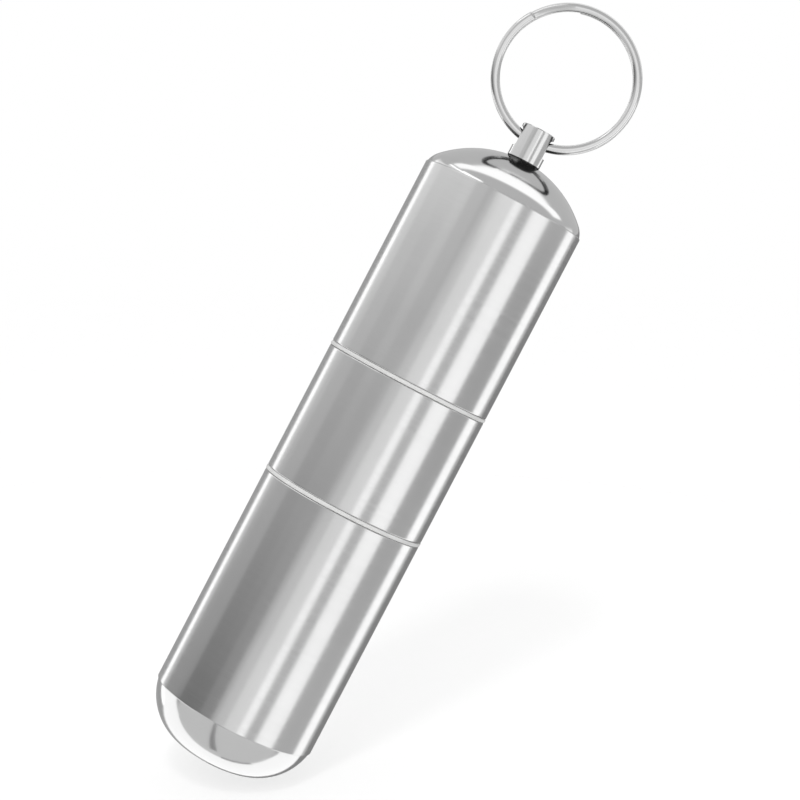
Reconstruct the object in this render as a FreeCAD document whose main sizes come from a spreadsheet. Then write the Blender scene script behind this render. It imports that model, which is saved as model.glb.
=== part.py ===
import FreeCAD, Part
import os
import re
import Sketcher

doc = FreeCAD.newDocument("pill_fob")

# Driving sizes in millimetres and degrees, one row each: the name, the value and what it sets.
SIZES = [
    ("ring_diameter", "16.6", "key ring, across the outside"),
    ("ring_wire_width", "1.0", "flat wire of the ring, along the radius"),
    ("ring_wire_thickness", "0.65", "flat wire of the ring, across its plane"),
    ("ring_wire_rounding", "0.28", "rounded edges of the flat wire"),
    ("ring_coil_gap", "0.06", "air between the two turns"),
    ("ring_end_angle", "145", "where the front turn is cut, from +X round to +Z"),
    ("ring_jog_angle", "39", "arc in which the wire passes from the front turn to the back turn"),
    ("post_diameter", "3.9", "eye post"),
    ("post_height", "3.95", "eye post over its seat on the dome"),
    ("post_top_break", "0.1", "chamfer round the top of the post"),
    ("post_foot_break", "0.14", "chamfer round the foot of the post"),
    ("eye_height", "2.6", "line on which the ring swings, over the seat"),
    ("eye_width", "2.05", "cross hole of the post, from front to back"),
    ("eye_length", "2.3", "cross hole of the post, along the post"),
    ("eye_rise", "0.95", "top of the cross hole over the line on which the ring swings"),
    ("eye_corner", "0.35", "rounded corners of the cross hole"),
    ("stud_diameter", "2.5", "stud under the post"),
    ("stud_end", "0.6", "stud beyond its nut"),
    ("stud_clearance", "0.06", "air all round the stud"),
    ("seat_margin", "0.12", "flat on the dome beyond the post"),
    ("seal_diameter", "6.0", "rubber seal and washer of the stud"),
    ("seal_thickness", "0.8", "rubber seal of the stud"),
    ("washer_thickness", "0.5", "washer of the stud"),
    ("nut_width", "5.0", "hexagon nut of the stud, across its flats"),
    ("nut_height", "2.0", "hexagon nut of the stud"),
    ("tube_diameter", "19.0", "all three tube sections"),
    ("tube_wall", "0.9", "all three tube sections"),
    ("tube_edge", "0.14", "broken outer edges of the tube sections at the seams"),
    ("rim_edge", "0.12", "broken outer edges of the tube sections at the domes"),
    ("upper_length", "22.3", "upper tube section"),
    ("middle_length", "14.95", "middle sleeve"),
    ("lower_length", "26.0", "lower tube section"),
    ("upper_dome_height", "4.82", "upper dome over the tube, before its seat is cut"),
    ("upper_shoulder_drop", "0.476", "upper rim under the sphere of the dome's middle"),
    ("upper_knuckle_radius", "2.6", "shoulder of the upper dome"),
    ("lower_dome_height", "5.85", "lower dome under the tube"),
    ("lower_crown_radius", "17.5", "middle of the lower dome"),
    ("lower_knuckle_radius", "6.6", "shoulder of the lower dome"),
    ("cap_wall", "1.0", "end caps"),
    ("cap_skirt", "2.5", "end caps inside the tubes"),
    ("inner_flat_margin", "0.2", "flat inside the upper dome beyond the seal"),
    ("fixing_gap", "0.03", "brazed joint between a tube and what is inside it"),
    ("gasket_thickness", "0.45", "seal rings at the seams"),
    ("gasket_proud", "0.05", "seal rings beyond the tubes"),
    ("gasket_rounding", "0.1", "broken outer edges of the seal rings"),
    ("gasket_clearance", "0.15", "seal rings over the thread's crest"),
    ("thread_depth", "0.6", "height of the ridge on the spigots"),
    ("thread_crest", "0.35", "width of the ridge at its top"),
    ("thread_flank_angle", "30", "flanks of the ridge, from square to the axis"),
    ("thread_pitch", "1.5", "one turn of the thread"),
    ("thread_turns", "3", "turns on each spigot"),
    ("thread_start", "1.4", "middle of the nearest turn from the core's shoulder"),
    ("thread_clearance", "0.15", "air round the thread, along the radius and along the axis"),
    ("thread_overlap", "0.1", "foot of a ridge inside its spigot, mouth of a groove inside its bore"),
    ("thread_ring_length", "7.4", "threaded ring in each tube"),
    ("thread_ring_wall", "0.52", "threaded ring behind its groove"),
    ("spigot_length", "6.8", "spigots of the core beyond its shoulders"),
    ("spigot_edge", "0.25", "broken outer edge of the spigots"),
    ("spigot_wall", "1.2", "spigots of the core, between the turns and the cup"),
    ("partition", "1.6", "wall between the two cups"),
    ("overrun", "1.0", "cuts beyond the solid that they cut"),
]

sheet = doc.addObject("Spreadsheet::Sheet", "sizes")
for row, (alias, value, meaning) in enumerate(SIZES, start=1):
    sheet.set(f"A{row}", meaning)
    sheet.set(f"B{row}", value)
    sheet.setAlias(f"B{row}", alias)
doc.recompute()
ALIASES = {alias for alias, value, meaning in SIZES}


def bound(expression):
    """The expression with every alias read from the sheet."""
    def from_sheet(word):
        return f"sizes.{word[0]}" if word[0] in ALIASES else word[0]
    return re.sub(r"[a-z_]+", from_sheet, expression)


def number(expression):
    """What the expression comes to at the present sizes."""
    return float(sheet.evalExpression(bound(expression)))


# Sizes that follow from the driving ones.
TUBE_RADIUS = "(tube_diameter / 2)"
BORE_RADIUS = "(tube_diameter / 2 - tube_wall)"
INSERT_RADIUS = f"({BORE_RADIUS} - fixing_gap)"
DOME_FOOT = f"({TUBE_RADIUS} - rim_edge)"
CAP_BORE = f"({INSERT_RADIUS} - cap_wall)"
POST_RADIUS = "(post_diameter / 2)"
STUD_HOLE = "(stud_diameter / 2 + stud_clearance)"
NUT_GROOVE = f"({INSERT_RADIUS} - thread_ring_wall)"
CREST_RADIUS = f"({NUT_GROOVE} - thread_clearance)"
ROOT_RADIUS = f"({CREST_RADIUS} - thread_depth)"
NUT_BORE = f"({ROOT_RADIUS} + thread_clearance)"
CUP_RADIUS = f"({ROOT_RADIUS} - spigot_wall)"
FLANK_SLOPE = "tan(thread_flank_angle * 1 deg)"

# The middle of the upper dome is part of a sphere, and so is its inside.
SPHERE_RISE = "(upper_dome_height - upper_shoulder_drop)"
UPPER_CROWN = f"(({DOME_FOOT} ^ 2 + {SPHERE_RISE} ^ 2) / (2 * {SPHERE_RISE}))"
DOME_CENTRE = f"(upper_dome_height - {UPPER_CROWN})"
SEAT_RADIUS = f"({POST_RADIUS} + seat_margin)"
INNER_FLAT = "(seal_diameter / 2 + inner_flat_margin)"


def dome_level(sphere, radius):
    """Height on a sphere about the dome's centre, at a distance from the axis."""
    return f"({DOME_CENTRE} + sqrt({sphere} ^ 2 - {radius} ^ 2))"


INNER_SPHERE = f"({UPPER_CROWN} - cap_wall)"
SEAT_LEVEL = dome_level(UPPER_CROWN, SEAT_RADIUS)
INNER_LEVEL = dome_level(INNER_SPHERE, INNER_FLAT)

# Stations on the axis, down from the middle of the key ring. The arc of the ring lies evenly about the eye.
RING_MEAN = "((ring_diameter - ring_wire_width) / 2)"
EYE_Z = f"(-({RING_MEAN} + sqrt({RING_MEAN} ^ 2 - {POST_RADIUS} ^ 2)) / 2)"
SEAT_Z = f"({EYE_Z} - eye_height)"
UPPER_RIM_Z = f"({SEAT_Z} - {SEAT_LEVEL})"
UPPER_MOUTH_Z = f"({UPPER_RIM_Z} - upper_length)"
SLEEVE_TOP_Z = f"({UPPER_MOUTH_Z} - gasket_thickness)"
SLEEVE_FOOT_Z = f"({SLEEVE_TOP_Z} - middle_length)"
LOWER_MOUTH_Z = f"({SLEEVE_FOOT_Z} - gasket_thickness)"
LOWER_RIM_Z = f"({LOWER_MOUTH_Z} - lower_length)"


def new_body(label, station):
    """A body whose own zero lies at a station on the axis."""
    body = doc.addObject("PartDesign::Body", label)
    body.Label = label
    body.setExpression(".Placement.Base.z", bound(station))
    return body


def sketch_on(body, name, role):
    """An empty sketch on one of the body's own planes."""
    sketch = body.newObject("Sketcher::SketchObject", name)
    plane = next(feature for feature in body.Origin.OriginFeatures if feature.Role == role)
    sketch.AttachmentSupport = [(plane, "")]
    sketch.MapMode = "FlatFace"
    return sketch


def bind(sketch, kind, geometry, point, expression):
    """Holds one coordinate of a point of the sketch at an expression."""
    place = sketch.addConstraint(Sketcher.Constraint(kind, geometry, point, number(expression)))
    sketch.setExpression(f"Constraints[{place}]", bound(expression))


def bind_radius(sketch, geometry, expression):
    """Holds the radius of an arc of the sketch at an expression."""
    place = sketch.addConstraint(Sketcher.Constraint("Radius", geometry, number(expression)))
    sketch.setExpression(f"Constraints[{place}]", bound(expression))


def points_at(corners):
    """Where corners given as expressions lie in a sketch."""
    return [FreeCAD.Vector(number(across), number(height), 0) for across, height in corners]


def circle_arc(centre, start, finish):
    """The arc about a centre from one point round to another."""
    circle = Part.Circle(centre, FreeCAD.Vector(0, 0, 1), start.distanceToPoint(centre))
    return Part.ArcOfCircle(circle, circle.parameter(start), circle.parameter(finish))


def axis_arc(start, finish):
    """The arc between two points about a centre on the sketch's upright axis."""
    rise = finish.y - start.y
    centre_y = (finish.x ** 2 - start.x ** 2 + finish.y ** 2 - start.y ** 2) / (2 * rise)
    return circle_arc(FreeCAD.Vector(0, centre_y, 0), start, finish)


def outline(sketch, corners):
    """A closed outline of straight stretches through corners given as (radius, height)."""
    points = points_at(corners)
    for start, finish in zip(points, points[1:] + points[:1]):
        sketch.addGeometry(Part.LineSegment(start, finish), False)
    for place, (radius, height) in enumerate(corners):
        after = (place + 1) % len(corners)
        sketch.addConstraint(Sketcher.Constraint("Coincident", place, 2, after, 1))
        bind(sketch, "DistanceX", place, 1, radius)
        bind(sketch, "DistanceY", place, 1, height)


def rounded_outline(sketch, radius, corners):
    """A closed outline of straight stretches with a rounded corner after each of them."""
    points = points_at(corners)
    for place, (start, finish) in enumerate(zip(points, points[1:] + points[:1])):
        if place % 2:
            heading = (start - points[place - 1]).normalize()
            centre = start + FreeCAD.Vector(-heading.y, heading.x, 0) * number(radius)
            curve = circle_arc(centre, start, finish)
        else:
            curve = Part.LineSegment(start, finish)
        sketch.addGeometry(curve, False)
    for place, (across, height) in enumerate(corners):
        after = (place + 1) % len(corners)
        sketch.addConstraint(Sketcher.Constraint("Coincident", place, 2, after, 1))
        bind(sketch, "DistanceX", place, 1, across)
        bind(sketch, "DistanceY", place, 1, height)
        if place % 2:
            bind_radius(sketch, place, radius)


def spin(body, section, name):
    """Spins a half section about the axis."""
    turning = body.newObject("PartDesign::Revolution", name)
    turning.Profile = section
    turning.ReferenceAxis = (section, ["V_Axis"])
    turning.Angle = 360


def revolved(label, station, corners):
    """A turned piece with straight stretches in its half section."""
    body = new_body(label, station)
    section = sketch_on(body, f"{label}_section", "XZ_Plane")
    outline(section, corners)
    spin(body, section, f"{label}_turning")
    return body


def thread(body, name, kind, corners, height):
    """A right-hand thread: a section carried up the axis."""
    section = sketch_on(body, f"{name}_section", "XZ_Plane")
    outline(section, corners)
    helix = body.newObject(f"PartDesign::{kind}Helix", name)
    helix.Profile = section
    helix.ReferenceAxis = (section, ["V_Axis"])
    helix.Mode = "pitch-height-angle"
    helix.setExpression("Pitch", bound("thread_pitch"))
    helix.setExpression("Height", bound(height))
    return helix


def thread_half(radius, clearance):
    """Half the width of the thread at a radius, with the clearance beside it."""
    return f"(thread_crest / 2 + ({CREST_RADIUS} - {radius}) * {FLANK_SLOPE} + {clearance})"


def thread_corners(inner, outer, middle, clearance):
    """Section of a ridge or groove between two radii, about its middle height."""
    inner_half = thread_half(inner, clearance)
    outer_half = thread_half(outer, clearance)
    return [
        (inner, f"{middle} - {inner_half}"),
        (outer, f"{middle} - {outer_half}"),
        (outer, f"{middle} + {outer_half}"),
        (inner, f"{middle} + {inner_half}"),
    ]


def tube(label, station, length, foot_edge, top_edge):
    """A length of tube with broken outer edges, up from its station."""
    return revolved(label, station, [
        (BORE_RADIUS, "0"),
        (f"{TUBE_RADIUS} - {foot_edge}", "0"),
        (TUBE_RADIUS, foot_edge),
        (TUBE_RADIUS, f"{length} - {top_edge}"),
        (f"{TUBE_RADIUS} - {top_edge}", length),
        (BORE_RADIUS, length),
    ])


def gasket(label, station):
    """A flat seal ring that lies on its station."""
    outer = f"({TUBE_RADIUS} + gasket_proud)"
    inner = f"({CREST_RADIUS} + gasket_clearance)"
    return revolved(label, station, [
        (inner, "0"),
        (f"{outer} - gasket_rounding", "0"),
        (outer, "gasket_rounding"),
        (outer, "gasket_thickness - gasket_rounding"),
        (f"{outer} - gasket_rounding", "gasket_thickness"),
        (inner, "gasket_thickness"),
    ])


def plain_washer(label, station, thickness):
    """A washer on the stud, down from its station."""
    return revolved(label, station, [
        (STUD_HOLE, f"-{thickness}"),
        ("seal_diameter / 2", f"-{thickness}"),
        ("seal_diameter / 2", "0"),
        (STUD_HOLE, "0"),
    ])


def thread_ring(label, mouth, inward, groove_foot):
    """A ring with an internal thread, from a tube's mouth inward (1 is up, -1 is down)."""
    corners = [
        (NUT_GROOVE, "0"),
        (INSERT_RADIUS, "0"),
        (INSERT_RADIUS, f"{inward} * thread_ring_length"),
        (NUT_BORE, f"{inward} * thread_ring_length"),
        (NUT_BORE, f"{inward} * ({NUT_GROOVE} - {NUT_BORE})"),
    ]
    body = revolved(label, mouth, corners)
    doc.recompute()
    whole = body.Shape.Volume
    inside = f"({NUT_BORE} - thread_overlap)"
    groove = thread_corners(inside, NUT_GROOVE, groove_foot, "thread_clearance")
    height = "thread_pitch * (ceil(thread_ring_length / thread_pitch) + 3)"
    thread(body, f"{label}_groove", "Subtractive", groove, height)
    doc.recompute()
    assert body.Shape.Volume < whole, f"{label} has no groove"
    return body


def tangent_arc(start, corner, finish):
    """The arc from start to finish whose end tangents meet at a corner, equally far from both."""
    chord_middle = (start + finish) / 2
    cosine = start.distanceToPoint(chord_middle) / start.distanceToPoint(corner)
    middle = chord_middle + (corner - chord_middle) * (cosine / (1 + cosine))
    return Part.Arc(start, middle, finish).toShape()


def split_ring():
    """The key ring: flat wire, one turn in front, a jog, and one turn behind."""
    mean = number(RING_MEAN)
    width = number("ring_wire_width")
    thickness = number("ring_wire_thickness")
    layer = (thickness + number("ring_coil_gap")) / 2
    jog = number("ring_jog_angle")
    front_end = number("ring_end_angle")

    def at(angle, depth):
        turn = FreeCAD.Rotation(FreeCAD.Vector(0, -1, 0), angle)
        return turn.multVec(FreeCAD.Vector(mean, 0, 0)) + FreeCAD.Vector(0, depth, 0)

    def heading(angle):
        return FreeCAD.Rotation(FreeCAD.Vector(0, -1, 0), angle).multVec(FreeCAD.Vector(0, 0, 1))

    def turn_arc(start, finish, depth):
        return Part.Arc(at(start, depth), at((start + finish) / 2, depth), at(finish, depth)).toShape()

    jog_start = front_end + 360 - jog
    jog_end = front_end + 360
    leave = at(jog_start, -layer)
    arrive = at(jog_end, layer)
    leaving = heading(jog_start)
    arriving = heading(jog_end)
    across = arrive - leave
    along = across.dot(leaving + arriving)
    bend = 2 * (1 - leaving.dot(arriving))
    reach = (-along + (along ** 2 + bend * across.dot(across)) ** 0.5) / bend
    first_corner = leave + leaving * reach
    second_corner = arrive - arriving * reach
    between = (first_corner + second_corner) / 2
    half_turn = (front_end + jog_start) / 2
    back_half = half_turn + 360
    path = Part.Wire([
        turn_arc(front_end, half_turn, -layer),
        turn_arc(half_turn, jog_start, -layer),
        tangent_arc(leave, first_corner, between),
        tangent_arc(between, second_corner, arrive),
        turn_arc(jog_end, back_half, layer),
        turn_arc(back_half, jog_start + 360, layer),
    ])
    corner = FreeCAD.Vector(mean - width / 2, -layer - thickness / 2, 0)
    plate = Part.makeBox(width, thickness, width, corner)
    upright = [edge for edge in plate.Edges if edge.Vertexes[0].Z != edge.Vertexes[1].Z]
    rounded = plate.makeFillet(number("ring_wire_rounding"), upright)
    section = min(rounded.Faces, key=lambda face: face.CenterOfMass.z)
    section.rotate(FreeCAD.Vector(0, 0, 0), FreeCAD.Vector(0, -1, 0), front_end)
    shell = Part.BRepOffsetAPI.MakePipeShell(path)
    shell.setBiNormalMode(FreeCAD.Vector(0, 1, 0))
    shell.add(section.OuterWire, False, False)
    shell.build()
    shell.makeSolid()
    ring = doc.addObject("Part::Feature", "split_ring")
    ring.Label = "split_ring"
    ring.Shape = shell.shape()
    ring.Placement = FreeCAD.Placement()
    turned = 2 * (360 - jog) + jog
    length = sum(edge.Length for edge in path.Edges)
    print(f"split_ring: wire {length:.1f} mm long over {turned:.0f} degrees")
    return ring


def eye_post():
    """The turned post, its stud, and the cross hole for the ring."""
    fixings = "(seal_thickness + washer_thickness + nut_height)"
    stud_foot = f"({INNER_LEVEL} - {SEAT_LEVEL} - {fixings} - stud_end)"
    body = revolved("eye_post", SEAT_Z, [
        ("0", stud_foot),
        ("stud_diameter / 2 - stud_clearance", stud_foot),
        ("stud_diameter / 2", f"{stud_foot} + stud_clearance"),
        ("stud_diameter / 2", "0"),
        (f"{POST_RADIUS} - post_foot_break", "0"),
        (POST_RADIUS, "post_foot_break"),
        (POST_RADIUS, "post_height - post_top_break"),
        (f"{POST_RADIUS} - post_top_break", "post_height"),
        ("0", "post_height"),
    ])
    doc.recompute()
    whole = body.Shape.Volume
    side = "(eye_width / 2)"
    inset = f"({side} - eye_corner)"
    top = "(eye_height + eye_rise)"
    foot = f"({top} - eye_length)"
    slot = sketch_on(body, "eye_slot", "YZ_Plane")
    rounded_outline(slot, "eye_corner", [
        (f"-{inset}", foot),
        (inset, foot),
        (side, f"{foot} + eye_corner"),
        (side, f"{top} - eye_corner"),
        (inset, top),
        (f"-{inset}", top),
        (f"-{side}", f"{top} - eye_corner"),
        (f"-{side}", f"{foot} + eye_corner"),
    ])
    eye = body.newObject("PartDesign::Pocket", "eye")
    eye.Profile = slot
    eye.Midplane = True
    eye.setExpression("Length", bound("post_diameter + 2 * overrun"))
    doc.recompute()
    assert body.Shape.Volume < whole, "the eye cuts nothing"
    return body


def post_nut():
    """The hexagon nut on the stud, inside the dome."""
    station = f"({UPPER_RIM_Z} + {INNER_LEVEL} - seal_thickness - washer_thickness - nut_height)"
    blank = doc.addObject("Part::Prism", "nut_blank")
    blank.Polygon = 6
    blank.setExpression("Circumradius", bound("nut_width / sqrt(3)"))
    blank.setExpression("Height", bound("nut_height"))
    bore = doc.addObject("Part::Cylinder", "nut_bore")
    bore.setExpression("Radius", bound(STUD_HOLE))
    bore.setExpression("Height", bound("nut_height + 2 * overrun"))
    bore.setExpression(".Placement.Base.z", bound("-overrun"))
    nut = doc.addObject("Part::Cut", "post_nut")
    nut.Label = "post_nut"
    nut.Base = blank
    nut.Tool = bore
    nut.setExpression(".Placement.Base.z", bound(station))
    return nut


def end_cap(label, station, way, dome, before, after):
    """A turned cap whose dome points up (way 1) or down (way -1).

    The dome is its height and the radii of its crown and its shoulder. Straight stretches run through the
    corners before and after an arc inside the cap. The crown and the shoulder close the outline.
    """
    height, crown, knuckle = dome
    body = new_body(label, station)
    section = sketch_on(body, f"{label}_section", "XZ_Plane")
    inside = points_at(before)
    outside = points_at(after)
    # the shoulder's circle passes through the rim and touches the crown's circle from inside
    crown_radius = number(crown)
    knuckle_radius = number(knuckle)
    crown_centre = FreeCAD.Vector(0, way * (number(height) - crown_radius), 0)
    rim = inside[0]
    spread = rim - crown_centre
    gap = spread.Length
    between = crown_radius - knuckle_radius
    along = (between ** 2 - knuckle_radius ** 2 + gap ** 2) / (2 * gap)
    aside = (between ** 2 - along ** 2) ** 0.5
    ahead = spread / gap
    knuckle_centre = crown_centre + ahead * along + FreeCAD.Vector(-ahead.y, ahead.x, 0) * (way * aside)
    touch = crown_centre + (knuckle_centre - crown_centre) * (crown_radius / between)

    def in_turn(start, finish):
        return (start, finish) if way < 0 else (finish, start)

    curves = [Part.LineSegment(start, finish) for start, finish in zip(inside, inside[1:])]
    inner_arc = len(curves)
    curves.append(axis_arc(*in_turn(outside[0], inside[-1])))
    curves += [Part.LineSegment(start, finish) for start, finish in zip(outside, outside[1:])]
    crown_arc = len(curves)
    knuckle_arc = crown_arc + 1
    curves.append(circle_arc(crown_centre, *in_turn(outside[-1], touch)))
    curves.append(circle_arc(knuckle_centre, *in_turn(touch, rim)))
    for curve in curves:
        section.addGeometry(curve, False)
    starts = [1] * len(curves)
    starts[inner_arc] = 2 if way < 0 else 1
    starts[crown_arc] = starts[knuckle_arc] = 1 if way < 0 else 2
    for place, start in enumerate(starts):
        after_it = (place + 1) % len(curves)
        kind = "Tangent" if place == crown_arc else "Coincident"
        section.addConstraint(Sketcher.Constraint(kind, place, 3 - start, after_it, starts[after_it]))
    for place, (across, level) in enumerate(before + after):
        bind(section, "DistanceX", place, starts[place], across)
        bind(section, "DistanceY", place, starts[place], level)
    for place in (inner_arc, crown_arc):
        section.addConstraint(Sketcher.Constraint("PointOnObject", place, 3, -2))
    bind_radius(section, crown_arc, crown)
    bind_radius(section, knuckle_arc, knuckle)
    spin(body, section, f"{label}_turning")
    return body


def upper_end_cap():
    """The upper dome, with a flat seat for the post, a flat inside it and a skirt in the tube."""
    dome = ("upper_dome_height", UPPER_CROWN, "upper_knuckle_radius")
    return end_cap("upper_end_cap", UPPER_RIM_Z, 1, dome, [
        (DOME_FOOT, "0"),
        (INSERT_RADIUS, "0"),
        (INSERT_RADIUS, "-cap_skirt"),
        (CAP_BORE, "-cap_skirt"),
        (CAP_BORE, dome_level(INNER_SPHERE, CAP_BORE)),
    ], [
        (INNER_FLAT, INNER_LEVEL),
        (STUD_HOLE, INNER_LEVEL),
        (STUD_HOLE, SEAT_LEVEL),
        (SEAT_RADIUS, SEAT_LEVEL),
    ])


def lower_end_cap():
    """The lower dome, hollow inside, with a skirt in the tube."""
    dome = ("lower_dome_height", "lower_crown_radius", "lower_knuckle_radius")
    return end_cap("lower_end_cap", LOWER_RIM_Z, -1, dome, [
        (DOME_FOOT, "0"),
        (INSERT_RADIUS, "0"),
        (INSERT_RADIUS, "cap_skirt"),
        (CAP_BORE, "cap_skirt"),
        (CAP_BORE, "0"),
    ], [
        ("0", "cap_wall - lower_dome_height"),
        ("0", "-lower_dome_height"),
    ])


def coupler_core():
    """The turned core: a cup in each spigot, a wall between them and a thread on each spigot."""
    top = "(middle_length + spigot_length)"
    foot = "(-spigot_length)"
    edge = f"({ROOT_RADIUS} - spigot_edge)"
    body = revolved("coupler_core", SLEEVE_FOOT_Z, [
        ("0", "(middle_length - partition) / 2"),
        (CUP_RADIUS, "(middle_length - partition) / 2"),
        (CUP_RADIUS, foot),
        (edge, foot),
        (ROOT_RADIUS, f"{foot} + spigot_edge"),
        (ROOT_RADIUS, "0"),
        (INSERT_RADIUS, "0"),
        (INSERT_RADIUS, "middle_length"),
        (ROOT_RADIUS, "middle_length"),
        (ROOT_RADIUS, f"{top} - spigot_edge"),
        (edge, top),
        (CUP_RADIUS, top),
        (CUP_RADIUS, "(middle_length + partition) / 2"),
        ("0", "(middle_length + partition) / 2"),
    ])
    inside = f"({ROOT_RADIUS} - thread_overlap)"
    height = "thread_turns * thread_pitch"
    upper_foot = "(middle_length + thread_start)"
    lower_foot = "(-thread_start - thread_turns * thread_pitch)"
    for name, ridge_foot in (("upper_ridge", upper_foot), ("lower_ridge", lower_foot)):
        doc.recompute()
        plain = body.Shape.Volume
        thread(body, name, "Additive", thread_corners(inside, CREST_RADIUS, ridge_foot, "0"), height)
        doc.recompute()
        assert body.Shape.Volume > plain, f"{name} adds nothing"
    return body


# Grooves start below their rings, a whole number of turns from the ridges that run in them.
RING_TURNS = "(ceil(thread_ring_length / thread_pitch) + 1)"
UPPER_GROOVE = "(thread_start - gasket_thickness - 2 * thread_pitch)"
LOWER_GROOVE = (f"(gasket_thickness - thread_start - thread_pitch * (thread_turns - ceil(thread_turns))"
                f" - thread_pitch * {RING_TURNS})")

SEAL_Z = f"({UPPER_RIM_Z} + {INNER_LEVEL})"
pieces = [
    split_ring(),
    eye_post(),
    upper_end_cap(),
    plain_washer("post_seal", SEAL_Z, "seal_thickness"),
    plain_washer("post_washer", f"({SEAL_Z} - seal_thickness)", "washer_thickness"),
    post_nut(),
    tube("upper_tube", UPPER_MOUTH_Z, "upper_length", "tube_edge", "rim_edge"),
    thread_ring("upper_thread_ring", UPPER_MOUTH_Z, 1, UPPER_GROOVE),
    gasket("upper_gasket", SLEEVE_TOP_Z),
    tube("middle_sleeve", SLEEVE_FOOT_Z, "middle_length", "tube_edge", "tube_edge"),
    coupler_core(),
    gasket("lower_gasket", LOWER_MOUTH_Z),
    thread_ring("lower_thread_ring", LOWER_MOUTH_Z, -1, LOWER_GROOVE),
    tube("lower_tube", LOWER_RIM_Z, "lower_length", "rim_edge", "tube_edge"),
    lower_end_cap(),
]
doc.recompute()

for item in doc.Objects:
    faults = {"Invalid", "Error"} & set(item.State)
    assert not faults, f"{item.Label} is {faults}"
for piece in pieces:
    assert not piece.Shape.isNull() and piece.Shape.isValid(), f"{piece.Label} has no sound shape"
    assert len(piece.Shape.Solids) == 1, f"{piece.Label} is {len(piece.Shape.Solids)} solids"

os.makedirs("parts", exist_ok=True)
for piece in pieces:
    piece.Shape.exportStep(f"parts/{piece.Label}.step")
    box = piece.Shape.optimalBoundingBox(False)
    print(f"{piece.Label}: {box.XLength:.2f} x {box.YLength:.2f} x {box.ZLength:.2f} mm,"
          f" from {box.ZMin:.2f} to {box.ZMax:.2f}, volume {piece.Shape.Volume:.1f} mm3")
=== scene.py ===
import bmesh
import bpy
import math
from mathutils import Matrix, Vector


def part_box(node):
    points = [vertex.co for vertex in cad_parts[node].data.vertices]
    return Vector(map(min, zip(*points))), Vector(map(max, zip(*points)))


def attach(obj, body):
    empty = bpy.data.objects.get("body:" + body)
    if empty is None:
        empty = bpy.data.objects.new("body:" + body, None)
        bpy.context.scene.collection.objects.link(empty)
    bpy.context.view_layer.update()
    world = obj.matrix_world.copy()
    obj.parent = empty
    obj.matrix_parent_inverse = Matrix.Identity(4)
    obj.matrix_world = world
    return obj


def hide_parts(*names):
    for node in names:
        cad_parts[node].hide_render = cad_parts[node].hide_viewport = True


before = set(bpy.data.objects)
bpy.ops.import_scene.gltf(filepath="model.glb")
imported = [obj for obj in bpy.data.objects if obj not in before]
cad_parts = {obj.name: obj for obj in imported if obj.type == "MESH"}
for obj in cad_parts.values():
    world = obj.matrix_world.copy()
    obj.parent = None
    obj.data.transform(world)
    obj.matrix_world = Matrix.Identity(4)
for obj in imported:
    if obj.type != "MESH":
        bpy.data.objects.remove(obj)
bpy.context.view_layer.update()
millimetre = 0.001
white = (1, 1, 1, 1)


# how the camera stood: the fob leans to the right in the picture, and the lens is long
cameraSet = {
    "place": (0.0, -0.2346, -0.03102),
    "aim": (0.00015, 0.0, -0.03967),
    "lean": 27.62,          # degrees, capsule's axis to the right of the picture's upright
    "lens": 95.73,
    "sensor": 36.0,
    "clip": (0.01, 50),
}


def addCamera(view):
    place = Vector(view["place"])
    ahead = (Vector(view["aim"]) - place).normalized()
    right = ahead.cross(Vector((0, 0, 1))).normalized()
    up = right.cross(ahead)
    lean = math.radians(view["lean"])
    leanUp = up * math.cos(lean) - right * math.sin(lean)
    leanRight = right * math.cos(lean) + up * math.sin(lean)
    data = bpy.data.cameras.new("photoCamera")
    data.lens = view["lens"]
    data.sensor_width = view["sensor"]
    data.clip_start, data.clip_end = view["clip"]
    camera = bpy.data.objects.new("photoCamera", data)
    turn = Matrix((leanRight, leanUp, -ahead)).transposed().to_4x4()
    camera.matrix_world = Matrix.Translation(place) @ turn
    bpy.context.scene.collection.objects.link(camera)
    bpy.context.scene.camera = camera


# node helpers
def addNode(tree, kind, values=None):
    node = tree.nodes.new("ShaderNode" + kind)
    for socket, value in (values or {}).items():
        node.inputs[socket].default_value = value
    return node


def remap(tree, value, source, target, smooth=False):
    change = addNode(tree, "MapRange", {"From Min": source[0], "From Max": source[1],
                                        "To Min": target[0], "To Max": target[1]})
    if smooth:
        change.interpolation_type = "SMOOTHSTEP"
    tree.links.new(value, change.inputs["Value"])
    return change.outputs["Result"]


def calculate(tree, operation, *values):
    node = addNode(tree, "Math")
    node.operation = operation
    for value, socket in zip(values, node.inputs):
        tree.links.new(value, socket)
    return node.outputs[0]


def objectPlace(tree):
    return addNode(tree, "TexCoord").outputs["Object"]


def objectAxes(tree):
    split = addNode(tree, "SeparateXYZ")
    tree.links.new(objectPlace(tree), split.inputs["Vector"])
    return split.outputs


def newMaterial(name, kind):
    material = bpy.data.materials.new(name)
    material.use_nodes = True
    tree = material.node_tree
    tree.nodes.clear()
    shader = addNode(tree, kind)
    output = addNode(tree, "OutputMaterial")
    tree.links.new(shader.outputs[0], output.inputs["Surface"])
    return material, tree, shader


def noiseOn(tree, scale, detail, stretch=(1, 1, 1)):
    mapping = addNode(tree, "Mapping", {"Scale": stretch})
    noise = addNode(tree, "TexNoise", {"Scale": scale, "Detail": detail})
    tree.links.new(objectPlace(tree), mapping.inputs["Vector"])
    tree.links.new(mapping.outputs["Vector"], noise.inputs["Vector"])
    return noise.outputs["Fac"]


noiseSpan = (0.3, 0.7)      # most of a noise lies between these


def spread(tree, noise, low, high):
    return remap(tree, noise, noiseSpan, (low, high))


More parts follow.
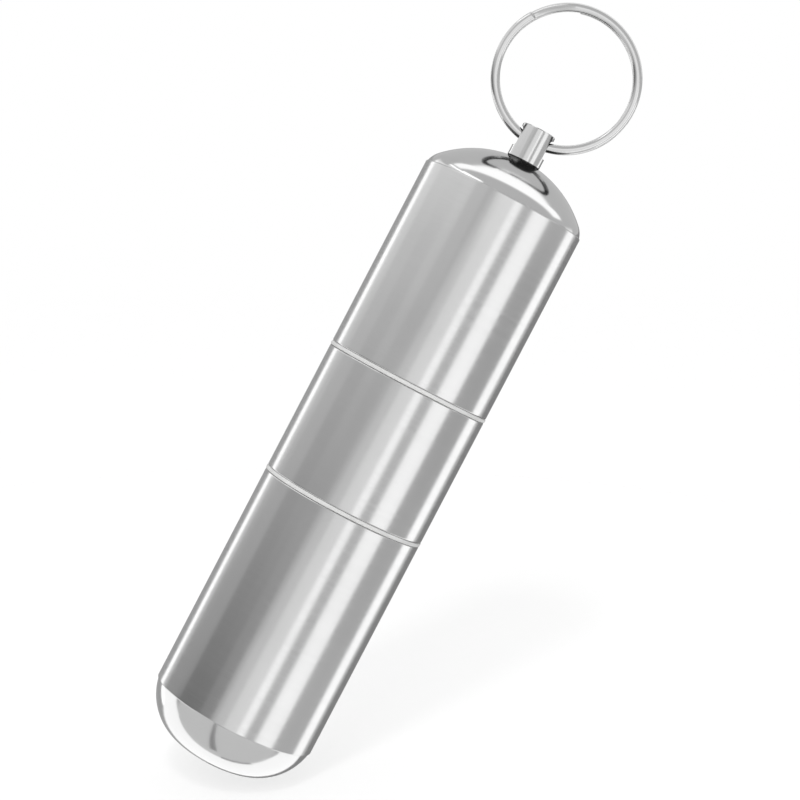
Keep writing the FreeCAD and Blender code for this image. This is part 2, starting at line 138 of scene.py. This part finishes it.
def colourBetween(tree, noise, low, high):
    mix = addNode(tree, "Mix")
    mix.data_type = "RGBA"
    # the node has an A, a B and a result for each kind of value, so those for colours go by number
    share, first, second, result = mix.inputs[0], mix.inputs[6], mix.inputs[7], mix.outputs[2]
    first.default_value = (*low, 1)
    second.default_value = (*high, 1)
    tree.links.new(spread(tree, noise, 0.0, 1.0), share)
    return result


def bumpFrom(tree, height, strength, depth):
    bump = addNode(tree, "Bump", {"Strength": strength, "Distance": depth})
    tree.links.new(height, bump.inputs["Height"])
    return bump.outputs["Normal"]


steelFinishes = {
    # stretch: how the grinding runs, rough: smallest and largest roughness, bare: share that is bare metal
    "satinSteel": {"greys": (0.68, 0.71), "rough": (0.14, 0.19), "scale": 4000, "stretch": (0.02, 0.02, 1.0),
                   "anisotropic": 0.3, "bump": 0.015, "bare": 1.0},
    "mirrorSteel": {"greys": (0.72, 0.76), "rough": (0.11, 0.14), "scale": 500, "stretch": (1, 1, 1),
                    "anisotropic": 0.0, "bump": 0.0, "bare": 1.0},
    "postSteel": {"greys": (0.66, 0.74), "rough": (0.13, 0.2), "scale": 1500, "stretch": (1.0, 1.0, 0.05),
                  "anisotropic": 0.0, "bump": 0.03, "bare": 1.0},
    "ringSteel": {"greys": (0.7, 0.76), "rough": (0.1, 0.16), "scale": 900, "stretch": (1, 1, 1),
                  "anisotropic": 0.0, "bump": 0.02, "bare": 1.0},
    "turnedSteel": {"greys": (0.56, 0.66), "rough": (0.2, 0.34), "scale": 1400, "stretch": (0.05, 0.05, 1.0),
                    "anisotropic": 0.0, "bump": 0.06, "bare": 0.6},
    "plainSteel": {"greys": (0.55, 0.64), "rough": (0.25, 0.36), "scale": 700, "stretch": (1, 1, 1),
                   "anisotropic": 0.0, "bump": 0.03, "bare": 0.8},
}
steelSet = {"grainDetail": 4, "cloudScale": 120, "cloudDetail": 3, "bumpDepth": 0.05 * millimetre}


def steel(name, finish):
    material, tree, shader = newMaterial(name, "BsdfPrincipled")
    grain = noiseOn(tree, finish["scale"], steelSet["grainDetail"], finish["stretch"])
    cloud = noiseOn(tree, steelSet["cloudScale"], steelSet["cloudDetail"])
    shader.inputs["Metallic"].default_value = finish["bare"]
    shader.inputs["Anisotropic"].default_value = finish["anisotropic"]
    low, high = [(grey, grey, grey) for grey in finish["greys"]]
    tree.links.new(colourBetween(tree, cloud, low, high), shader.inputs["Base Color"])
    tree.links.new(spread(tree, grain, *finish["rough"]), shader.inputs["Roughness"])
    if finish["bump"]:
        normal = bumpFrom(tree, grain, finish["bump"], steelSet["bumpDepth"])
        tree.links.new(normal, shader.inputs["Normal"])
    if finish["anisotropic"]:
        tangent = addNode(tree, "Tangent")
        tangent.direction_type = "RADIAL"
        tangent.axis = "Z"
        tree.links.new(tangent.outputs["Tangent"], shader.inputs["Tangent"])
    return material


rubberFinishes = {
    "paleRubber": {"low": (0.56, 0.56, 0.555), "high": (0.64, 0.64, 0.635), "rough": (0.42, 0.55)},
    "blackRubber": {"low": (0.012, 0.012, 0.012), "high": (0.03, 0.03, 0.03), "rough": (0.55, 0.75)},
}
rubberSet = {"cloudScale": 600, "cloudDetail": 4, "bump": 0.1, "bumpDepth": 0.05 * millimetre}


def rubber(name, finish):
    material, tree, shader = newMaterial(name, "BsdfPrincipled")
    cloud = noiseOn(tree, rubberSet["cloudScale"], rubberSet["cloudDetail"])
    tree.links.new(colourBetween(tree, cloud, finish["low"], finish["high"]), shader.inputs["Base Color"])
    tree.links.new(spread(tree, cloud, *finish["rough"]), shader.inputs["Roughness"])
    normal = bumpFrom(tree, cloud, rubberSet["bump"], rubberSet["bumpDepth"])
    tree.links.new(normal, shader.inputs["Normal"])
    return material


finishes = {name: steel(name, finish) for name, finish in steelFinishes.items()}
finishes.update({name: rubber(name, finish) for name, finish in rubberFinishes.items()})
print("finishes ready:", ", ".join(finishes))


# mesh helpers: how near points have to be to count as one, in metres, and which edges stay sharp, in degrees
meshSet = {"merge": 1e-7, "onRing": 1e-6, "cut": 1e-8, "sharp": 35, "roundProfile": 0.5}


def everything(bm):
    return bm.verts[:] + bm.edges[:] + bm.faces[:]


def flatSheet(size, middle):
    bm = bmesh.new()
    bmesh.ops.create_grid(bm, x_segments=1, y_segments=1, size=0.5)
    bmesh.ops.scale(bm, verts=bm.verts[:], vec=(*size, 1))
    bmesh.ops.translate(bm, verts=bm.verts[:], vec=middle)
    return bm


def soften(bm, items, offset, segments, affect):
    bmesh.ops.bevel(bm, geom=items, offset=offset, segments=segments, profile=meshSet["roundProfile"],
                    affect=affect, material=-1)


# turned pieces: a pen draws the half section in the XZ plane, then the section is spun about the axis
def penStart(bm, radius, height):
    return bm.verts.new((radius, 0, height))


def penLine(bm, vert, radius, height):
    drawn = bmesh.ops.extrude_vert_indiv(bm, verts=[vert])
    drawn["verts"][0].co = (radius, 0, height)
    return drawn["verts"][0]


def penArc(bm, vert, centre, degrees, steps):
    drawn = bmesh.ops.spin(bm, geom=[vert], cent=centre, axis=(0, 1, 0),
                           angle=math.radians(degrees), steps=steps)
    return next(item for item in drawn["geom_last"] if isinstance(item, bmesh.types.BMVert))


def lathe(bm, segments):
    bmesh.ops.spin(bm, geom=bm.verts[:] + bm.edges[:], cent=(0, 0, 0), axis=(0, 0, 1),
                   angle=math.tau, steps=segments, use_merge=True)
    bmesh.ops.remove_doubles(bm, verts=bm.verts[:], dist=meshSet["merge"])
    bmesh.ops.recalc_face_normals(bm, faces=bm.faces[:])


def squareSection(inner, outer, low, high, segments):
    # a plain band between two radii and two heights
    bm = bmesh.new()
    first = penStart(bm, inner, low)
    last = penLine(bm, first, outer, low)
    last = penLine(bm, last, outer, high)
    last = penLine(bm, last, inner, high)
    bm.edges.new((last, first))
    lathe(bm, segments)
    return bm


def roundEdges(bm, radius, heights, offset, segments):
    # softens the edges whose ends both lie at a radius and at one of the heights, which on a gasket takes in
    # the upright edges of its wall and makes the wall finer
    near = meshSet["onRing"]

    def onRing(vert):
        across = math.hypot(vert.co.x, vert.co.y)
        return abs(across - radius) < near and min(abs(vert.co.z - height) for height in heights) < near
    soften(bm, [edge for edge in bm.edges if all(onRing(vert) for vert in edge.verts)],
           offset, segments, "EDGES")


def guardLoops(bm, heights):
    # loops close to the rounded ends, so that the long wall between them shades as a true cylinder
    for height in heights:
        bmesh.ops.bisect_plane(bm, geom=everything(bm), dist=meshSet["cut"],
                               plane_co=(0, 0, height), plane_no=(0, 0, 1))


def finishPiece(bm, name, body, node, finish, sharp=meshSet["sharp"]):
    mesh = bpy.data.meshes.new(name)
    bm.to_mesh(mesh)
    bm.free()
    for face in mesh.polygons:
        face.use_smooth = True
    mesh.set_sharp_from_angle(angle=math.radians(sharp))
    piece = bpy.data.objects.new(name, mesh)
    bpy.context.scene.collection.objects.link(piece)
    mesh.materials.append(finishes[finish])
    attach(piece, body)
    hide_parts(node)


tubeSet = {
    "wall": 0.9 * millimetre,
    "seamEdge": 0.14 * millimetre,
    "rimEdge": 0.12 * millimetre,
    "edgeSteps": 3,
    "guard": 0.18 * millimetre,
    "segments": 192,
}


def tubePiece(name, body, node, footEdge, topEdge):
    low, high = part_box(node)
    radius = high.x
    bm = squareSection(radius - tubeSet["wall"], radius, low.z, high.z, tubeSet["segments"])
    roundEdges(bm, radius, (low.z,), tubeSet[footEdge], tubeSet["edgeSteps"])
    roundEdges(bm, radius, (high.z,), tubeSet[topEdge], tubeSet["edgeSteps"])
    guardLoops(bm, (low.z + tubeSet["guard"], high.z - tubeSet["guard"]))
    finishPiece(bm, name, body, node, "satinSteel")


tubePiece("upperTube", "upper_capsule", "upper_tube", "seamEdge", "rimEdge")
tubePiece("middleSleeve", "coupler", "middle_sleeve", "seamEdge", "seamEdge")
tubePiece("lowerTube", "lower_capsule", "lower_tube", "rimEdge", "seamEdge")
print("tubes turned")


capSet = {
    "wall": 1.0 * millimetre,
    "skirt": 2.5 * millimetre,
    "gap": 0.03 * millimetre,         # brazed joint inside the tube
    "upperHeight": 4.82 * millimetre,
    "upperDrop": 0.476 * millimetre,  # rim under the sphere of the dome's middle
    "upperKnuckle": 2.6 * millimetre,
    "seat": 2.07 * millimetre,        # flat under the post
    "innerFlat": 3.2 * millimetre,    # flat under the seal
    "studHole": 1.31 * millimetre,
    "lowerHeight": 5.85 * millimetre,
    "lowerCrown": 17.5 * millimetre,
    "lowerKnuckle": 6.6 * millimetre,
    "upperSteps": {"crown": 36, "knuckle": 16, "inner": 24},
    "lowerSteps": {"crown": 16, "knuckle": 28, "inner": 24},
    "segments": 192,
}


def arcTo(bm, vert, centre, start, finish, steps):
    # an arc about a centre in the XZ plane, from one point to another, given by radius and height
    def bearing(point):
        return math.atan2(point[0] - centre[0], point[1] - centre[2])
    return penArc(bm, vert, centre, math.degrees(bearing(finish) - bearing(start)), steps)


def shoulder(rim, crownCentre, crown, knuckle, way):
    # the circle through the rim that touches the crown's circle, and the point where they touch
    away = rim - crownCentre
    between = crown - knuckle
    along = (between ** 2 - knuckle ** 2 + away.length ** 2) / (2 * away.length)
    aside = math.sqrt(between ** 2 - along ** 2) * way
    ahead = away.normalized()
    centre = crownCentre + ahead * along + Vector((-ahead.z, 0, ahead.x)) * aside
    touch = crownCentre + (centre - crownCentre) * (crown / between)
    return centre, (touch.x, touch.z)


def capRadii(tubeRadius):
    # foot of the dome, outside of the skirt and bore of the skirt
    skirt = tubeRadius - tubeSet["wall"] - capSet["gap"]
    return tubeRadius - tubeSet["rimEdge"], skirt, skirt - capSet["wall"]


def upperCap():
    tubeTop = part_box("upper_tube")[1]
    rim = tubeTop.z
    foot, skirt, bore = capRadii(tubeTop.x)
    rise = capSet["upperHeight"] - capSet["upperDrop"]
    crown = (foot ** 2 + rise ** 2) / (2 * rise)
    centre = Vector((0, 0, rim + capSet["upperHeight"] - crown))
    knuckleCentre, touch = shoulder(Vector((foot, 0, rim)), centre, crown, capSet["upperKnuckle"], 1)
    inner = crown - capSet["wall"]

    def level(radius, ball):
        return centre.z + math.sqrt(ball ** 2 - radius ** 2)
    seat, flat, hole = capSet["seat"], capSet["innerFlat"], capSet["studHole"]
    steps = capSet["upperSteps"]
    bm = bmesh.new()
    first = penStart(bm, hole, level(seat, crown))
    last = penLine(bm, first, seat, level(seat, crown))
    last = arcTo(bm, last, centre, (seat, level(seat, crown)), touch, steps["crown"])
    last = arcTo(bm, last, knuckleCentre, touch, (foot, rim), steps["knuckle"])
    last = penLine(bm, last, skirt, rim)
    last = penLine(bm, last, skirt, rim - capSet["skirt"])
    last = penLine(bm, last, bore, rim - capSet["skirt"])
    last = penLine(bm, last, bore, level(bore, inner))
    last = arcTo(bm, last, centre, (bore, level(bore, inner)), (flat, level(flat, inner)), steps["inner"])
    last = penLine(bm, last, hole, level(flat, inner))
    bm.edges.new((last, first))
    lathe(bm, capSet["segments"])
    finishPiece(bm, "upperCap", "upper_capsule", "upper_end_cap", "mirrorSteel")


def lowerCap():
    tubeFoot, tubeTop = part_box("lower_tube")
    rim = tubeFoot.z
    foot, skirt, bore = capRadii(tubeTop.x)
    height, crown = capSet["lowerHeight"], capSet["lowerCrown"]
    centre = Vector((0, 0, rim - height + crown))
    knuckleCentre, touch = shoulder(Vector((foot, 0, rim)), centre, crown, capSet["lowerKnuckle"], -1)
    innerApex = rim - height + capSet["wall"]
    innerHeight = rim - innerApex
    ball = (bore ** 2 + innerHeight ** 2) / (2 * innerHeight)
    innerCentre = (0, 0, innerApex + ball)
    steps = capSet["lowerSteps"]
    bm = bmesh.new()
    last = penStart(bm, 0, innerApex)
    last = arcTo(bm, last, innerCentre, (0, innerApex), (bore, rim), steps["inner"])
    last = penLine(bm, last, bore, rim + capSet["skirt"])
    last = penLine(bm, last, skirt, rim + capSet["skirt"])
    last = penLine(bm, last, skirt, rim)
    last = penLine(bm, last, foot, rim)
    last = arcTo(bm, last, knuckleCentre, (foot, rim), touch, steps["knuckle"])
    arcTo(bm, last, centre, touch, (0, rim - height), steps["crown"])
    lathe(bm, capSet["segments"])
    finishPiece(bm, "lowerCap", "lower_capsule", "lower_end_cap", "mirrorSteel")


upperCap()
lowerCap()
print("end caps turned")


gasketSet = {"inner": 8.05 * millimetre, "rounding": 0.12 * millimetre, "roundSteps": 3, "segments": 192}


def gasketPiece(name, body, node):
    low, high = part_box(node)
    bm = squareSection(gasketSet["inner"], high.x, low.z, high.z, gasketSet["segments"])
    roundEdges(bm, high.x, (low.z, high.z), gasketSet["rounding"], gasketSet["roundSteps"])
    finishPiece(bm, name, body, node, "paleRubber")


gasketPiece("upperGasket", "upper_seal", "upper_gasket")
gasketPiece("lowerGasket", "lower_seal", "lower_gasket")
print("gaskets cut")


ringSet = {
    "diameter": 16.6 * millimetre,
    "width": 1.0 * millimetre,
    "thickness": 0.65 * millimetre,
    "rounding": (0.42 * millimetre, 0.3 * millimetre),   # along the radius and across the plane
    "roundSteps": 6,
    "coilGap": 0.06 * millimetre,
    "endBreak": 0.12 * millimetre,   # chamfered ends of the wire
    "cut": 145,                      # degrees from +X round to +Z
    "jog": 39,                       # degrees in which the wire passes to the back turn
    "turnSteps": 160,
    "jogSteps": 24,
    "merge": 1e-8,
    "sharp": 50,
}


def splitRing():
    mean = (ringSet["diameter"] - ringSet["width"]) / 2
    layer = (ringSet["thickness"] + ringSet["coilGap"]) / 2
    wide, deep = ringSet["rounding"]
    # the section is rounded while it is squeezed, so that its corners come out oval
    bm = flatSheet((ringSet["width"] * deep / wide, ringSet["thickness"]), (0, 0, 0))
    soften(bm, bm.verts[:], deep, ringSet["roundSteps"], "VERTICES")
    bmesh.ops.scale(bm, verts=bm.verts[:], vec=(wide / deep, 1, 1))
    bmesh.ops.translate(bm, verts=bm.verts[:], vec=(mean, -layer, 0))
    bmesh.ops.rotate(bm, verts=bm.verts[:], cent=(0, 0, 0),
                     matrix=Matrix.Rotation(math.radians(-ringSet["cut"]), 3, "Y"))

    def onward(section, degrees, steps, shift=0.0):
        drawn = bmesh.ops.spin(bm, geom=section, cent=(0, 0, 0), axis=(0, -1, 0), angle=math.radians(degrees),
                               steps=steps, dvec=(0, shift, 0))
        return drawn["geom_last"]

    def eased(step):
        share = step / ringSet["jogSteps"]
        return share * share * (3 - 2 * share)
    turn = 360 - ringSet["jog"]
    section = onward(everything(bm), turn, ringSet["turnSteps"])
    for step in range(ringSet["jogSteps"]):
        shift = 2 * layer * (eased(step + 1) - eased(step))
        section = onward(section, ringSet["jog"] / ringSet["jogSteps"], 1, shift)
    onward(section, turn, ringSet["turnSteps"])
    # only the two ends of the wire have more than four corners
    ends = [edge for face in bm.faces if len(face.verts) > 4 for edge in face.edges]
    soften(bm, ends, ringSet["endBreak"], 1, "EDGES")
    bmesh.ops.remove_doubles(bm, verts=bm.verts[:], dist=ringSet["merge"])
    bmesh.ops.recalc_face_normals(bm, faces=bm.faces[:])
    finishPiece(bm, "splitRing", "key_ring", "split_ring", "ringSteel", sharp=ringSet["sharp"])


splitRing()
print("split ring wound")


# pieces whose shape comes straight from the frame
nodeFinishes = {
    "eye_post": "postSteel",
    "post_seal": "blackRubber",
    "post_washer": "plainSteel",
    "post_nut": "plainSteel",
    "upper_thread_ring": "turnedSteel",
    "lower_thread_ring": "turnedSteel",
    "coupler_core": "turnedSteel",
}
for node, finish in nodeFinishes.items():
    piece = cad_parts[node]
    piece.data.materials.clear()
    piece.data.materials.append(finishes[finish])
print("frame pieces finished:", len(nodeFinishes))


# studio: a pale floor for the shadow, a grey cloth tent, and strip lights and cards seen in the steel
studioSet = {
    "middle": -0.045,       # height of the strips' middle
    "tentRadius": 1.6,
    "tentSteps": (48, 24),
    "tentLevel": 0.57,
    "tentShare": 0.03,      # what is left of the tent in a second reflection
    "stripShare": 0.2,      # what is left of the strips there
    "secondBounce": (1.4, 1.6),   # glossy depths between which the second reflection starts
    "stripRadius": 1.3,
    "stripStep": 3,         # degrees in each flat of a bent strip
    "cut": 1e-6,
    "roomLevel": 1.0,
}
# strips: degrees round from the camera (to the right), width, lowest and highest elevation, level
strips = {
    "frontFillLeft": (-12, 12, -30, 4.4, 0.7),
    "frontFill": (4, 18, -30, 4.4, 0.9),
    "frontTopLeft": (-14.5, 7, 4.4, 16, 0.62),
    "frontTop": (1, 24, 4.4, 16, 1.0),
    "frontStrip": (20, 12, -30, 16, 1.3),
    "gapCloth": (34, 11, -30, 16, 0.58),
    "rightStrip": (55.25, 27.5, -30, 16, 1.28),
    "backClothRight": (159.5, 43, -46, 14, 0.26),
    "backClothLeft": (-159.5, 43, -46, 14, 0.4),
    "leftTopA": (-115.5, 20, 4.4, 24, 0.95),
    "leftTopB": (-73.75, 63.5, 4.4, 29, 0.87),
    "leftTopE": (-33, 18, 4.4, 28, 0.69),
    "leftRimStrip": (-73, 66, 29, 38, 1.6),
}
# hanging cloths whose level changes upward: degrees round, width, level at the fade's foot and top
cloths = {
    "leftClothEdge": (-121, 9, 0.6, 0.975),
    "leftClothA": (-111, 11, 0.34, 1.15),
    "leftClothB": (-93, 26, 0.35, 0.935),
    "leftClothC": (-68.5, 23, 0.19, 1.0),
    "leftClothD": (-49.5, 15, 0.19, 1.1),
    "leftClothE": (-33, 18, 0.29, 0.875),
    "rightCloth": (89.25, 38.5, 0.56, 0.35),
}
# elevations of the lower end, the fade's foot, the fade's top and the upper end
clothFade = {"low": -22, "foot": -14, "top": 16, "high": 4.4}
# strips at the back that melt into the tent upward
backStrips = {
    "backLeftStrip": (-131, 11, 1.6, 0.57),
    "backRightStrip": (119.75, 20.5, 1.4, 0.57),
}
backFade = {"low": -38, "foot": 12, "top": 26, "high": 27}
# cards under the object, by height: the nearer a card is, the more it hides of those below it
underCard = {"height": -0.35, "half": 0.6, "near": 0.0, "far": 0.38, "slant": 0.35, "level": 1.28}
frontUnderCard = {"height": -0.345, "half": 0.53, "front": -0.49, "back": 0.035, "bend": 1.22,
                  "segments": 128, "level": 0.68}
streakCard = {"height": -0.335, "azimuth": -17, "start": 0.02, "end": 0.43, "width": 0.03, "level": 0.3}
# plain cards: corner, size, height, level, and where a card is cut off
plainCards = {
    "leftUnderCard": ((-0.62, 0.0), (0.32, 0.6), -0.351, 1.28, [((0, 0), (0.588, 0.809))]),
    "leftDarkCard": ((-1.2, -0.6), (0.68, 0.6), -0.352, 0.2, []),
    "edgeCard": ((0.028, 0.018), (0.125, 0.02), -0.338, 0.35, []),
}
# soft light overhead: height, half length, near and far edge, as parts of the height, and how soft they are
overhead = {"height": 0.8, "half": 1.4, "near": -0.08, "far": 0.415, "soft": (0.16, 0.13, 0.07),
            "level": 1.33}


def glow(name, low, high=None, heights=None):
    material, tree, light = newMaterial(name, "Emission")
    light.inputs["Color"].default_value = white
    light.inputs["Strength"].default_value = low
    if heights:
        strength = remap(tree, objectAxes(tree)["Z"], heights, (low, high))
        tree.links.new(strength, light.inputs["Strength"])
    return material


def heldBack(material, share):
    # painted shade: the studio's light is cut down in a second reflection, so it is dark where one steel
    # piece shows it by way of another
    material.cycles.emission_sampling = "NONE"
    tree = material.node_tree
    depth = addNode(tree, "LightPath").outputs["Glossy Depth"]
    level = remap(tree, depth, studioSet["secondBounce"], (1.0, share))
    tree.links.new(level, tree.nodes["Emission"].inputs["Color"])


def softGlow(name):
    # the overhead light melts into the tent at its edges
    material = glow(name, overhead["level"])
    tree = material.node_tree
    axes = objectAxes(tree)
    edges = ((calculate(tree, "ABSOLUTE", axes["X"]), overhead["half"], -1),
             (axes["Y"], overhead["near"], 1), (axes["Y"], overhead["far"], -1))
    share = None
    for (value, edge, inward), soft in zip(edges, overhead["soft"]):
        span = [(edge + way * soft) * overhead["height"] for way in (-inward, inward)]
        inside = remap(tree, value, span, (0, 1), smooth=True)
        share = inside if share is None else calculate(tree, "MULTIPLY", share, inside)
    strength = remap(tree, share, (0, 1), (studioSet["tentLevel"], overhead["level"]))
    tree.links.new(strength, tree.nodes["Emission"].inputs["Strength"])
    heldBack(material, studioSet["tentShare"])
    return material


def stageMesh(bm, name, material, seen=False):
    mesh = bpy.data.meshes.new(name)
    bm.to_mesh(mesh)
    bm.free()
    mesh.materials.append(material)
    thing = bpy.data.objects.new(name, mesh)
    thing.visible_camera = seen
    bpy.context.scene.collection.objects.link(thing)
    return thing


def standingStrip(name, azimuth, width, heights, reach, material):
    # an upright strip, bent round the object
    bm = bmesh.new()
    start = math.radians(azimuth - width / 2)
    foot = bm.verts.new((reach * math.sin(start), -reach * math.cos(start), heights[0]))
    top = bm.verts.new((foot.co.x, foot.co.y, heights[1]))
    edge = bm.edges.new((foot, top))
    bmesh.ops.spin(bm, geom=[foot, top, edge], cent=(0, 0, 0), axis=(0, 0, 1),
                   angle=math.radians(width), steps=max(2, int(width / studioSet["stripStep"])))
    heldBack(material, studioSet["stripShare"])
    stageMesh(bm, name, material)


def trim(bm, cuts):
    # each cut is a point on a line and the side that goes
    for point, away in cuts:
        bmesh.ops.bisect_plane(bm, geom=everything(bm), dist=studioSet["cut"],
                               plane_co=(*point, 0), plane_no=(*away, 0), clear_outer=True)


def flatCard(name, corner, size, height, level, cuts):
    bm = flatSheet(size, (corner[0] + size[0] / 2, corner[1] + size[1] / 2, height))
    trim(bm, cuts)
    stageMesh(bm, name, glow(name, level))


def addUnderCards():
    half = underCard["half"]
    slanted = [((0, underCard["far"]), (-underCard["slant"], 1))]
    reach = underCard["far"] + half * underCard["slant"]
    flatCard("underCard", (-half, underCard["near"]), (2 * half, reach - underCard["near"]),
             underCard["height"], underCard["level"], slanted)
    # the front card's far edge is bent
    card = frontUnderCard
    bm = bmesh.new()
    bmesh.ops.create_circle(bm, cap_ends=True, segments=card["segments"], radius=card["bend"])
    bmesh.ops.translate(bm, verts=bm.verts[:], vec=(0, card["back"] - card["bend"], card["height"]))
    trim(bm, [((0, card["front"]), (0, -1)), ((card["half"], 0), (1, 0)), ((-card["half"], 0), (-1, 0))])
    stageMesh(bm, "frontUnderCard", glow("frontUnderCard", card["level"]))
    card = streakCard
    bm = flatSheet((card["width"], card["end"] - card["start"]),
                   (0, -(card["start"] + card["end"]) / 2, card["height"]))
    bmesh.ops.rotate(bm, verts=bm.verts[:], cent=(0, 0, 0),
                     matrix=Matrix.Rotation(math.radians(card["azimuth"]), 3, "Z"))
    stageMesh(bm, "streakCard", glow("streakCard", card["level"]))
    for name, (corner, size, height, level, cuts) in plainCards.items():
        flatCard(name, corner, size, height, level, cuts)


def addOverhead():
    height = overhead["height"]
    margins = [2 * soft for soft in overhead["soft"]]
    length = 2 * (overhead["half"] + margins[0])
    near, far = overhead["near"] - margins[1], overhead["far"] + margins[2]
    bm = flatSheet((length * height, (far - near) * height), (0, (near + far) / 2 * height, height))
    stageMesh(bm, "overheadLight", softGlow("overheadLight"))


def addStudio():
    reach = studioSet["stripRadius"]
    across, upward = studioSet["tentSteps"]
    bm = bmesh.new()
    bmesh.ops.create_uvsphere(bm, u_segments=across, v_segments=upward, radius=studioSet["tentRadius"])
    tent = glow("tentCloth", studioSet["tentLevel"])
    heldBack(tent, studioSet["tentShare"])
    stageMesh(bm, "tent", tent)

    def risen(angle):
        return studioSet["middle"] + reach * math.tan(math.radians(angle))
    for name, (azimuth, width, low, high, level) in strips.items():
        standingStrip(name, azimuth, width, (risen(low), risen(high)), reach, glow(name, level))
    for group, fade in ((cloths, clothFade), (backStrips, backFade)):
        change = (risen(fade["foot"]), risen(fade["top"]))
        ends = (risen(fade["low"]), risen(fade["high"]))
        for name, (azimuth, width, footLevel, topLevel) in group.items():
            standingStrip(name, azimuth, width, ends, reach, glow(name, footLevel, topLevel, change))
    addUnderCards()
    addOverhead()


# soft lamps that light rubber and floor; the steel shows the strips instead
lamps = {
    "keyLamp": {"place": (-0.3, -0.55, 0.42), "size": 0.1, "watts": 1.85},
    "fillLamp": {"place": (-0.26, -0.68, 0.3), "size": 0.25, "watts": 1.25},
}


def addLamps():
    for name, lamp in lamps.items():
        data = bpy.data.lights.new(name, "AREA")
        data.size = lamp["size"]
        data.energy = lamp["watts"]
        thing = bpy.data.objects.new(name, data)
        thing.location = lamp["place"]
        aim = Vector((0, 0, studioSet["middle"])) - Vector(lamp["place"])
        thing.rotation_euler = aim.to_track_quat("-Z", "Y").to_euler()
        thing.visible_glossy = False
        bpy.context.scene.collection.objects.link(thing)


# the floor is level in the picture, so that the fob leans on it; to the camera it is a pale film that lets
# the white room through, more so farther off, so that it hides nothing of an open fob
floorSet = {
    "grey": 0.95,
    "rough": 0.6,
    "glow": 0.1,
    "radius": 0.9,
    "segments": 64,
    "tip": 12,              # degrees towards the camera
    "fade": (0.11, 0.3),    # distances from the foot between which the film thins out
    "clear": (0.72, 1.0),   # share of the room that it lets through there
}


def addFloor():
    slope = (Matrix.Rotation(-math.radians(cameraSet["lean"]), 3, "Y")
             @ Matrix.Rotation(math.radians(floorSet["tip"]), 3, "X"))
    upward = slope @ Vector((0, 0, 1))
    foot = min((vert.co for vert in bpy.data.objects["lowerCap"].data.vertices), key=upward.dot)
    material, tree, shader = newMaterial("paleFloor", "BsdfPrincipled")
    shader.inputs["Base Color"].default_value = (*[floorSet["grey"]] * 3, 1)
    shader.inputs["Roughness"].default_value = floorSet["rough"]
    shader.inputs["Emission Color"].default_value = white
    shader.inputs["Emission Strength"].default_value = floorSet["glow"]
    away = addNode(tree, "VectorMath")
    away.operation = "DISTANCE"
    away.inputs[1].default_value = foot
    tree.links.new(objectPlace(tree), away.inputs[0])
    share = remap(tree, away.outputs["Value"], floorSet["fade"], floorSet["clear"])
    film = calculate(tree, "MULTIPLY", share, addNode(tree, "LightPath").outputs["Is Camera Ray"])
    # quite clear from below
    through = calculate(tree, "MAXIMUM", film, addNode(tree, "NewGeometry").outputs["Backfacing"])
    clear = addNode(tree, "BsdfTransparent")
    mix = addNode(tree, "MixShader")
    tree.links.new(through, mix.inputs["Fac"])
    tree.links.new(shader.outputs["BSDF"], mix.inputs[1])
    tree.links.new(clear.outputs["BSDF"], mix.inputs[2])
    tree.links.new(mix.outputs["Shader"], tree.nodes["Material Output"].inputs["Surface"])
    bm = bmesh.new()
    bmesh.ops.create_circle(bm, cap_ends=True, segments=floorSet["segments"], radius=floorSet["radius"])
    bmesh.ops.rotate(bm, verts=bm.verts[:], cent=(0, 0, 0), matrix=slope)
    bmesh.ops.translate(bm, verts=bm.verts[:], vec=foot)
    floor = stageMesh(bm, "floor", material, seen=True)
    floor.visible_glossy = False


def addWorld():
    world = bpy.data.worlds.new("whiteRoom")
    bpy.context.scene.world = world
    world.use_nodes = True
    tree = world.node_tree
    tree.nodes.clear()
    light = addNode(tree, "Background", {"Color": white, "Strength": studioSet["roomLevel"]})
    output = addNode(tree, "OutputWorld")
    tree.links.new(light.outputs["Background"], output.inputs["Surface"])


addCamera(cameraSet)
addStudio()
addLamps()
addFloor()
addWorld()
bpy.context.scene.view_settings.view_transform = "Standard"
print("studio set")
